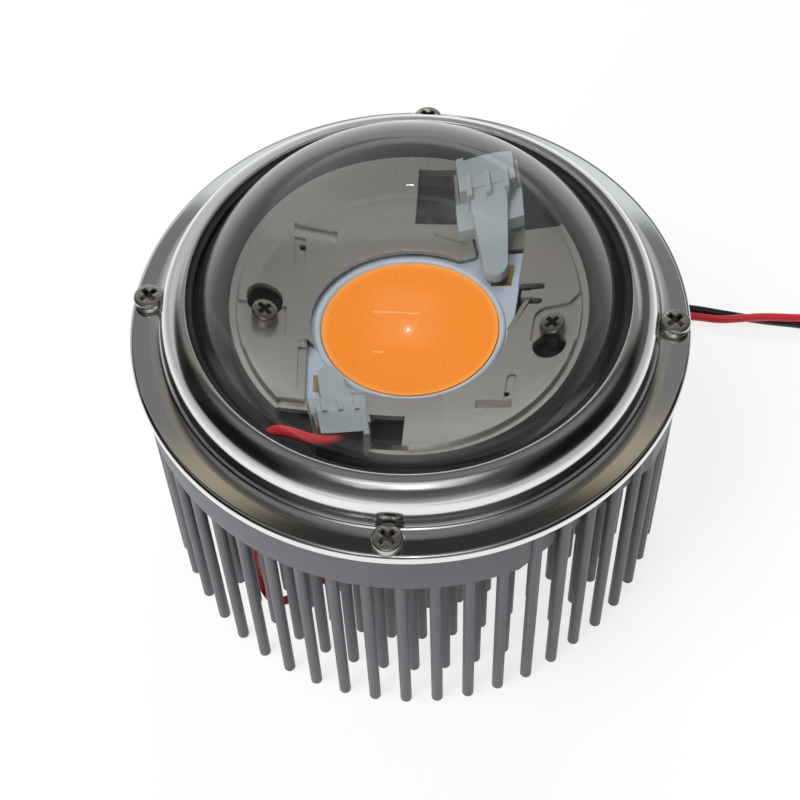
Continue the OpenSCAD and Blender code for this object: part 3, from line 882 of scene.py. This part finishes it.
@dataclass
class Bezel:
    """The polished ring that clamps the lens, with its reliefs for the screw heads.

    Lengths are in millimetres where nothing else is said.

    Attributes:
        radius: Outer radius of the flange.
        low: Height of the flange's underside.
        flange_top: Height of the flange's top.
        edge: Rounding of the flange's edge.
        flat_loop: Width of the narrow loops that keep the flange flat in its shading.
        foot_out: Radius at which the flange begins to sweep up to the bead.
        foot_high: Height at which the sweep meets the bead's wall.
        foot_pulls: How far the sweep runs on along the flange and along the wall.
        bead: Radius of the bead's wall.
        bead_low: Height at which the bead's curve begins.
        lip_radius: Inner radius of the lip.
        lip_round: Rounding of the lip's edge.
        lip_low: Height of the lip's underside.
        lip_top: Height of the lip's top.
        inner: Inner radius of the wall.
        bevel_low: Height at which the wall leans in.
        bevel_in: Radius at which the wall meets the lip.
        screw_radius: Distance of the screws from the axis.
        head_bore: Radius of the relief round each screw head.
        shank_bore: Radius of the hole for each shank.
        head_drill: Height of each head's drill above the flange.
        shank_drill: How far each shank's drill runs out below and above the flange.
        screw_count: Number of screws.
        screw_bevel: Rounding of the screws' edges in metres.
        foot_steps: Chords of the foot's sweep.
        edge_steps: Chords of the flange's rounded edge.
        bead_step: Degrees between two points of the bead.
        lip_from: Angle in degrees at which the lip's rounding starts.
        lip_steps: Chords of the lip's rounding.
        turn_steps: Steps of the full turn.
        drill_facets: Facets of each drill.
        crease: Angle in degrees from which an edge stays sharp.
    """

    radius: float = 60.0
    low: float = 67.0
    flange_top: float = 69.0
    edge: float = 0.9
    flat_loop: float = 0.2
    foot_out: float = 56.0
    foot_high: float = 70.2
    foot_pulls: Point2 = (2.4, 0.9)
    bead: float = 53.0
    bead_low: float = 71.6
    lip_radius: float = 46.7
    lip_round: float = 0.3
    lip_low: float = 77.9
    lip_top: float = 79.0
    inner: float = 50.5
    bevel_low: float = 75.3
    bevel_in: float = 48.9
    screw_radius: float = 56.4
    head_bore: float = 3.6
    shank_bore: float = 1.85
    head_drill: float = 4.0
    shank_drill: Point2 = (1.0, 0.5)
    screw_count: int = 4
    screw_bevel: float = 0.00012
    foot_steps: int = 24
    edge_steps: int = 12
    bead_step: int = 3
    lip_from: float = 120.0
    lip_steps: int = 6
    turn_steps: int = 256
    drill_facets: int = 64
    crease: float = 22.0

    def section(self) -> list[Point2]:
        """Works out the section from the flange's underside round to the inner wall.

        Returns:
            Points as radius and height in millimetres.
        """
        bead_in = self.lip_radius + self.lip_round
        rise = self.lip_top - self.bead_low
        angles = [math.radians(a) for a in range(0, RIGHT_ANGLE + 1, self.bead_step)]
        bead = [(bead_in + (self.bead - bead_in) * math.cos(a), self.bead_low + rise * math.sin(a))
                for a in angles]
        corners = ((self.foot_out, self.flange_top),
                   (self.foot_out - self.foot_pulls[0], self.flange_top),
                   (self.bead, self.foot_high - self.foot_pulls[1]),
                   (self.bead, self.foot_high))
        return [
            (self.radius, self.low),
            *arc_points((self.radius - self.edge, self.flange_top - self.edge), self.edge, 0,
                        RIGHT_ANGLE, self.edge_steps),
            (self.radius - self.edge - self.flat_loop, self.flange_top),
            (self.foot_out + self.flat_loop, self.flange_top),
            *flowing_points(corners, self.foot_steps),
            *bead,
            *arc_points((bead_in, self.lip_top - self.lip_round), self.lip_round, self.lip_from,
                        HALF_TURN, self.lip_steps),
            (self.lip_radius, self.lip_low), (self.bevel_in, self.lip_low),
            (self.inner, self.bevel_low), (self.inner, self.low)]

    def _cutter(self) -> bpy.types.Object:
        """Makes the drills for the screw heads and shanks.

        Returns:
            One object with all the round drills.
        """
        work = bmesh.new()
        below, above = self.shank_drill
        drills = ((self.head_bore, self.flange_top, self.flange_top + self.head_drill),
                  (self.shank_bore, self.low - below, self.flange_top + above))
        for turn in range(self.screw_count):
            place = Matrix.Rotation(turn * math.tau / self.screw_count, 4, "Z") @ Matrix.Translation(
                (self.screw_radius * MILLIMETRE, 0.0, 0.0))
            for radius, low, high in drills:
                middle = Matrix.Translation((0.0, 0.0, (low + high) / 2 * MILLIMETRE))
                bmesh.ops.create_cone(work, cap_ends=True, segments=self.drill_facets,
                                      radius1=radius * MILLIMETRE, radius2=radius * MILLIMETRE,
                                      depth=(high - low) * MILLIMETRE, matrix=place @ middle)
        mesh = bpy.data.meshes.new("bezel_drills")
        work.to_mesh(mesh)
        work.free()
        cutter = bpy.data.objects.new("bezel_drills", mesh)
        bpy.context.scene.collection.objects.link(cutter)
        return cutter

    def build(self, frame: dict[str, Any], polished: bpy.types.Material,
              steel: bpy.types.Material) -> None:
        """Turns the ring, drills it and dresses its screws.

        Args:
            polished: Finish of the ring.
            steel: Finish of the screws.
        """
        dress_node(frame, "bezel_screws", steel, bevel=self.screw_bevel)
        turned = turned_mesh("bezel_blank", self.section(), self.turn_steps, closed=True)
        blank = bpy.data.objects.new("bezel_blank", turned)
        bpy.context.scene.collection.objects.link(blank)
        cutter = self._cutter()
        cut = blank.modifiers.new("drill", "BOOLEAN")
        cut.operation = "DIFFERENCE"
        cut.solver = "EXACT"
        cut.use_self = True
        cut.object = cutter
        graph = bpy.context.evaluated_depsgraph_get()
        mesh = bpy.data.meshes.new_from_object(blank.evaluated_get(graph))
        mesh.name = "bezel_polished"
        for leftover in (blank, cutter):
            bpy.data.objects.remove(leftover)
        smooth_by_angle(mesh, self.crease)
        place_piece("bezel_polished", mesh, polished, ["bezel_ring"])


@dataclass(frozen=True)
class SoftLamp:
    """A square soft lamp that no mirror or glass shows.

    Attributes:
        name: The lamp's name.
        place: Its place in metres.
        aim: The point in metres that it shines at.
        side: Its side in metres.
        power: Its power in watts.
    """

    name: str
    place: Point3
    aim: Point3
    side: float
    power: float

    def hang(self) -> None:
        """Hangs the lamp."""
        data = bpy.data.lights.new(self.name, "AREA")
        data.size = self.side
        data.energy = self.power
        lamp = bpy.data.objects.new(self.name, data)
        lamp.location = self.place
        line = Vector(self.aim) - Vector(self.place)
        lamp.rotation_euler = line.to_track_quat("-Z", "Y").to_euler()
        lamp.visible_glossy = False
        lamp.visible_transmission = False
        bpy.context.scene.collection.objects.link(lamp)


@dataclass
class Studio:
    """Floor, lamps, surroundings and camera.

    Attributes:
        camera_place: Camera in the row frame, in millimetres.
        heading: Turn of the camera from the +Y direction, in degrees.
        pitch: How far the camera looks down, in degrees.
        roll: Roll of the camera, in degrees.
        focal_pixels: Focal length in pixels of the picture.
        picture_side: Side of the square picture in pixels.
        sensor: Width of the camera's sensor in millimetres.
        near_clip: Distance in metres from which the camera sees.
        floor_side: Side of the floor in metres.
        floor_height: Height of the floor in metres, a hair under the pin tips.
        floor_white: Share of light that the floor throws back.
        floor_glow: Share of even white in what the camera, metal and glass see of the floor.
        floor_sides: Distances to the left and right, in metres, between which the white falls off.
        pale_grey: Brightness of the floor and the horizon at the sides.
        horizon: Angles in degrees above the floor between which the pale horizon gives way to the room.
        horizon_sides: Sideways shares of a direction between which the horizon's white falls off.
        room: Light of the room by the angle from the front horizon over the zenith, in degrees.
        room_skew: How far the room's bands lean sideways, in degrees.
        skew_fade: Angles between which the bands stop leaning.
        room_side: Sideways shares of a direction between which the room turns dark.
        room_dark: Share of the room's light that is left there.
        window_low: Angles between which the bright window in front begins.
        window_high: Angles between which it ends.
        window_side: Sideways shares between which it ends.
        window_light: Its brightness.
        back_from: Angles between which the back wall begins.
        back_side: Sideways shares between which the back wall changes.
        back_light: Its brightness there.
        tubes: Thin ceiling lights as angle over the zenith, its half width in degrees, sideways start
            and end of the direction, and brightness.
        spot: Direction of the small ceiling lamp.
        spot_rings: Half angle in degrees and brightness of the lamp and of the glow round it.
        lamps: The soft lamps.
    """

    camera_place: Point3 = (22.338, -215.254, 349.013)
    heading: float = 6.672
    pitch: float = 55.288
    roll: float = -2.571
    focal_pixels: float = 1650.0
    picture_side: float = 800.0
    sensor: float = 36.0
    near_clip: float = 0.01
    floor_side: float = 6.0
    floor_height: float = -0.00005
    floor_white: float = 0.93
    floor_glow: float = 0.8
    floor_sides: Point2 = (0.16, 0.36)
    pale_grey: float = 0.5
    horizon: Point2 = (2.0, 6.0)
    horizon_sides: Point2 = (0.35, 0.75)
    room: Sequence[tuple[float, Colour]] = (
        (0.0, (0.45, 0.45, 0.45)), (14.0, (0.3, 0.3, 0.3)), (22.0, (0.13, 0.13, 0.13)),
        (50.0, (0.07, 0.07, 0.07)), (86.0, (0.07, 0.07, 0.07)), (92.0, (0.2, 0.2, 0.2)),
        (110.0, (0.18, 0.18, 0.18)), (117.0, (0.04, 0.04, 0.04)), (121.0, (0.03, 0.03, 0.03)),
        (122.0, (0.4, 0.35, 0.25)), (123.0, (0.4, 0.35, 0.25)), (124.5, (0.2, 0.2, 0.2)),
        (131.0, (0.2, 0.2, 0.2)), (131.5, (0.8, 0.85, 0.85)), (133.5, (0.8, 0.85, 0.85)),
        (134.5, (0.33, 0.33, 0.33)), (180.0, (0.33, 0.33, 0.33)))
    room_skew: float = 6.8
    skew_fade: Point2 = (123.0, 128.0)
    room_side: Point2 = (0.42, 0.72)
    room_dark: float = 0.1
    window_low: Point2 = (50.0, 58.0)
    window_high: Point2 = (79.0, 86.0)
    window_side: Point2 = (0.14, 0.4)
    window_light: float = 0.75
    back_from: Point2 = (134.8, 139.0)
    back_side: Point2 = (-0.5, 0.4)
    back_light: Point2 = (0.6, 0.1)
    tubes: Sequence[tuple[float, float, float, float, float]] = (
        (70.3, 0.35, -0.26, 0.12, 4.0), (51.0, 0.35, -0.25, -0.15, 4.0),
        (140.1, 0.5, -0.073, -0.024, 16.0))
    spot: Point3 = (0.033, -0.467, 0.884)
    spot_rings: Sequence[Point2] = ((1.1, 26.0), (3.0, 3.0), (6.5, 0.8))
    lamps: Sequence[SoftLamp] = (
        SoftLamp("key_lamp", place=(-0.35, -0.25, 0.9), aim=(0.0, 0.0, 0.05), side=0.5, power=7.0),
        SoftLamp("fill_lamp", place=(0.6, -0.5, 0.6), aim=(0.0, 0.0, 0.05), side=0.6, power=0.5),
        SoftLamp("low_lamp", place=(-0.6, -0.7, 0.22), aim=(0.0, 0.0, 0.03), side=0.3, power=5.0),
        SoftLamp("back_lamp", place=(0.1, 0.7, 0.8), aim=(0.0, 0.0, 0.05), side=0.5, power=3.8))

    def add_camera(self) -> None:
        """Sets the camera at the photograph's place."""
        data = bpy.data.cameras.new("photo_camera")
        data.sensor_width = self.sensor
        data.lens = self.sensor * self.focal_pixels / self.picture_side
        data.clip_start = self.near_clip
        camera = bpy.data.objects.new("photo_camera", data)
        bpy.context.scene.collection.objects.link(camera)
        turn = (Matrix.Rotation(math.radians(self.heading), 4, "Z")
                @ Matrix.Rotation(math.radians(RIGHT_ANGLE - self.pitch), 4, "X")
                @ Matrix.Rotation(math.radians(self.roll), 4, "Z"))
        camera.matrix_world = Matrix.Translation(Vector(self.camera_place) * MILLIMETRE) @ turn
        bpy.context.scene.camera = camera

    def add_floor(self) -> None:
        """Lays the pale floor."""
        work = bmesh.new()
        bmesh.ops.create_grid(work, x_segments=1, y_segments=1, size=self.floor_side / 2)
        mesh = bpy.data.meshes.new("studio_floor")
        work.to_mesh(mesh)
        work.free()
        floor = bpy.data.objects.new("studio_floor", mesh)
        floor.location.z = self.floor_height
        bpy.context.scene.collection.objects.link(floor)
        material, sheet = new_material("pale_floor")
        paper = sheet.add("ShaderNodeBsdfDiffuse", Color=(self.floor_white,) * 3)
        place = sheet.add("ShaderNodeSeparateXYZ", Vector=sheet.object_point())
        aside = sheet.math("ABSOLUTE", place.outputs["X"])
        level = sheet.between(aside, self.floor_sides, (1.0, self.pale_grey))
        white = sheet.add("ShaderNodeEmission", Color=WHITE, Strength=level)
        rays = sheet.add("ShaderNodeLightPath").outputs
        seen = rays[Ray.CAMERA.value]
        for ray in (Ray.TRANSMISSION, Ray.GLOSSY):
            seen = sheet.math("MAXIMUM", seen, rays[ray.value])
        sheet.surface(sheet.layered(sheet.math("MULTIPLY", seen, self.floor_glow),
                                    paper.outputs["BSDF"], white.outputs["Emission"]))
        mesh.materials.append(material)

    def add_surroundings(self) -> None:
        """Gives the world a pale horizon, and above it the light and dark of a room."""
        world = bpy.data.worlds.new("studio_room")
        bpy.context.scene.world = world
        world.use_nodes = True
        sheet = NodeSheet(world.node_tree)
        direction = sheet.add("ShaderNodeTexCoord").outputs["Generated"]
        parts = sheet.add("ShaderNodeSeparateXYZ", Vector=direction)
        across = parts.outputs["X"]
        aside = sheet.math("ABSOLUTE", across)
        ahead = sheet.math("MULTIPLY", parts.outputs["Y"], -1.0)
        angle = sheet.math("ARCTAN2", parts.outputs["Z"], ahead)
        degrees = sheet.math("MULTIPLY", angle, HALF_TURN / math.pi)
        window = sheet.between(degrees, self.window_low, (0.0, self.window_light))
        for value, fade in ((degrees, self.window_high), (aside, self.window_side)):
            window = sheet.math("MULTIPLY", window, sheet.between(value, fade, (1.0, 0.0)))
        glints = sheet.math("ADD", window, self._ceiling_lights(sheet, direction, angle, across))
        lit = sheet.add("ShaderNodeVectorMath", {"operation": "ADD"})
        sheet.feed(lit.inputs[0], self._walls(sheet, degrees, across, aside))
        sheet.feed(lit.inputs[1], sheet.grey(glints))
        low, high = (math.sin(math.radians(place)) for place in self.horizon)
        level = sheet.between(aside, self.horizon_sides, (1.0, self.pale_grey))
        pale = sheet.mixed(sheet.between(parts.outputs["Z"], (low, high), (1.0, 0.0)),
                           lit.outputs["Vector"], sheet.grey(level))
        background = sheet.add("ShaderNodeBackground", Color=pale, Strength=1.0)
        sheet.add("ShaderNodeOutputWorld", Surface=background.outputs["Background"])

    def _walls(self, sheet: NodeSheet, degrees: Any, across: Any,
               aside: Any) -> bpy.types.NodeSocket:
        """Adds the room's bands and its back wall.

        Args:
            sheet: The world's sheet.
            degrees: Socket of the direction's angle over the zenith, in degrees.
            across: Socket of its sideways share.
            aside: Socket of the size of that share.

        Returns:
            Socket of the walls' colour.
        """
        skew = sheet.between(degrees, self.skew_fade, (self.room_skew, 0.0))
        leaning = sheet.math("SUBTRACT", degrees, sheet.math("MULTIPLY", across, skew))
        share = sheet.math("DIVIDE", leaning, HALF_TURN)
        bands = sheet.ramp(share, [(place / HALF_TURN, colour) for place, colour in self.room])
        bands = sheet.scaled(bands, sheet.between(aside, self.room_side, (1.0, self.room_dark)))
        back = sheet.grey(sheet.between(across, self.back_side, self.back_light))
        return sheet.mixed(sheet.between(degrees, self.back_from, (0.0, 1.0)), bands, back)

    def _ceiling_lights(self, sheet: NodeSheet, direction: Any, angle: Any,
                        across: Any) -> bpy.types.NodeSocket:
        """Adds the small bright lights that glint in the lens.

        Args:
            sheet: The world's sheet.
            direction: Socket of the direction looked in.
            angle: Socket of its angle over the zenith, in radians.
            across: Socket of its sideways share.

        Returns:
            Socket of the lights' brightness.
        """
        total: Any = 0.0
        for place, half, start, end, power in self.tubes:
            off = sheet.math("ABSOLUTE", sheet.math("SUBTRACT", angle, math.radians(place)))
            inside = sheet.math("LESS_THAN", off, math.radians(half))
            for mark, test in ((start, "GREATER_THAN"), (end, "LESS_THAN")):
                inside = sheet.math("MULTIPLY", inside, sheet.math(test, across, mark))
            total = sheet.math("ADD", total, sheet.math("MULTIPLY", inside, power))
        near = sheet.add("ShaderNodeVectorMath", {"operation": "DOT_PRODUCT"})
        sheet.feed(near.inputs[0], direction)
        sheet.feed(near.inputs[1], tuple(Vector(self.spot).normalized()))
        for half, power in self.spot_rings:
            edge = math.cos(math.radians(half))
            ring = sheet.between(near.outputs["Value"], (edge, 1.0), (0.0, power))
            total = sheet.math("ADD", total, ring)
        return total

    def add_lamps(self) -> None:
        """Hangs the soft lamps."""
        for lamp in self.lamps:
            lamp.hang()

    def set_view(self) -> None:
        """Sets the plain view transform."""
        bpy.context.scene.view_settings.view_transform = "Standard"


class FinishSet:
    """All finishes of the lamp head, made once."""

    def __init__(self) -> None:
        """Makes every finish."""
        # The anodised plate's top face gets a painted shade.
        self.anodised = MetalFinish("dark_anodised_aluminium", colour=(0.09, 0.089, 0.102),
                                    shade=(0.084, 0.083, 0.095), roughness=0.42,
                                    roughness_spread=0.02, metallic=0.3, polished_from=0.0669,
                                    top_painted_shade=0.22).build()
        # The nickel and both screw steels get a painted shade in their recesses.
        self.nickel = MetalFinish("satin_nickel_sheet", colour=(0.56, 0.55, 0.505),
                                  shade=(0.5, 0.49, 0.45), roughness=0.27, metallic=0.82,
                                  patch_scale=40.0, painted_shade_reach=0.0012, painted_shade_level=0.35).build()
        self.holder_screw = MetalFinish("dark_screw_steel", colour=(0.42, 0.4, 0.36),
                                        shade=(0.34, 0.325, 0.3), roughness=0.22,
                                        painted_shade_reach=0.0008).build()
        self.screw = MetalFinish("plated_screw_steel", colour=(0.66, 0.63, 0.58),
                                 shade=(0.5, 0.48, 0.44), roughness=0.25,
                                 painted_shade_reach=0.0008).build()
        self.chrome = TurnedChromeFinish("mirror_polished_bezel", colour=(0.8, 0.8, 0.8),
                                         flange_roughness=0.05, bead_roughness=0.15,
                                         flange_from=(0.0555, 0.0562)).build()
        self.gold = MetalFinish("gold_plated_contact", colour=(0.85, 0.62, 0.28),
                                shade=(0.7, 0.5, 0.22), roughness=0.3).build()
        self.tin = MetalFinish("tinned_copper", colour=(0.75, 0.74, 0.72), shade=(0.6, 0.59, 0.57),
                               roughness=0.32, stretch=(20.0, 1.0, 1.0)).build()
        self.silicone = MouldedFinish("black_silicone", colour=(0.018, 0.018, 0.018),
                                      shade=(0.012, 0.012, 0.012), roughness=0.5,
                                      grain_depth=0.000001).build()
        # The terminals are white translucent nylon; this grey colour is partly painted shade, the shade
        # they lie in under the lens.
        self.nylon = MouldedFinish("white_terminal_nylon", colour=(0.3, 0.345, 0.355),
                                   shade=(0.28, 0.325, 0.335), roughness=0.35, through=0.25,
                                   reach=0.002).build()
        # The chip's ceramic is white; this grey-blue colour is partly painted shade, the shade under
        # the lens.
        self.ceramic = MouldedFinish("white_chip_ceramic", colour=(0.42, 0.48, 0.55),
                                     shade=(0.39, 0.45, 0.52), roughness=0.3).build()
        self.dam = MouldedFinish("translucent_dam", colour=(0.46, 0.52, 0.58),
                                 shade=(0.42, 0.48, 0.54), roughness=0.25, through=0.3,
                                 reach=0.001).build()
        self.pad = MouldedFinish("heat_pad", colour=(0.5, 0.5, 0.52), shade=(0.42, 0.42, 0.44),
                                 roughness=0.7).build()
        self.red = MouldedFinish("red_insulation", colour=(0.62, 0.03, 0.04),
                                 shade=(0.54, 0.022, 0.03), roughness=0.35).build()
        self.black = MouldedFinish("black_insulation", colour=(0.012, 0.012, 0.012),
                                   shade=(0.008, 0.008, 0.008), roughness=0.35).build()
        self.phosphor = PhosphorFinish("orange_phosphor", colour=(0.97, 0.28, 0.02),
                                       edge=(0.98, 0.35, 0.06), grain=(0.88, 0.22, 0.012),
                                       radius=0.01495).build()
        self.glass = GlassFinish("lens_glass", tint=WHITE, index=1.47, roughness=0.0).build()


@dataclass
class ChipStack:
    """The heat sink with the heat pad and the chip on it, all as CAD solids."""

    def dress(self, frame: dict[str, Any], finish: FinishSet) -> None:
        """Gives the solids their finishes.

        Args:
            finish: All finishes.
        """
        for name, material in (("heat_sink", finish.anodised), ("thermal_pad", finish.pad),
                               ("chip_substrate", finish.ceramic), ("chip_dam", finish.dam),
                               ("chip_phosphor", finish.phosphor),
                               ("chip_contact_pads", finish.gold)):
            dress_node(frame, name, material)


@dataclass
class Holder:
    """The stamped holder with its screws, terminals and contact strips, as CAD solids.

    Attributes:
        sheet_bevel: Rounding of the stamped edges in metres.
        screw_bevel: Rounding of the screws' edges in metres.
        moulded_bevel: Rounding of the terminals' edges in metres.
        moulded_segments: Segments of the terminals' rounded edges.
    """

    sheet_bevel: float = 0.00015
    screw_bevel: float = 0.0001
    moulded_bevel: float = 0.0004
    moulded_segments: int = 3

    def dress(self, frame: dict[str, Any], finish: FinishSet) -> None:
        """Gives the solids their finishes and rounds their edges.

        Args:
            finish: All finishes.
        """
        dress_node(frame, "holder_frame", finish.nickel, bevel=self.sheet_bevel)
        dress_node(frame, "holder_screws", finish.holder_screw, bevel=self.screw_bevel)
        for pole in ("positive", "negative"):
            dress_node(frame, f"{pole}_terminal", finish.nylon, bevel=self.moulded_bevel,
                       segments=self.moulded_segments)
            dress_node(frame, f"{pole}_contact", finish.gold)


def main() -> None:
    """Builds the studio and every piece."""
    logging.basicConfig(level=logging.INFO, format="%(name)s: %(message)s")
    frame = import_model()
    finish = FinishSet()
    studio = Studio()
    studio.set_view()
    studio.add_camera()
    Leads().build(frame, finish.red, finish.black, finish.tin)
    ChipStack().dress(frame, finish)
    Holder().dress(frame, finish)
    Lens().build(finish.glass)
    Gasket().build(finish.silicone)
    Bezel().build(frame, finish.chrome, finish.screw)
    studio.add_floor()
    studio.add_surroundings()
    studio.add_lamps()


if __name__ == "__main__":
    main()
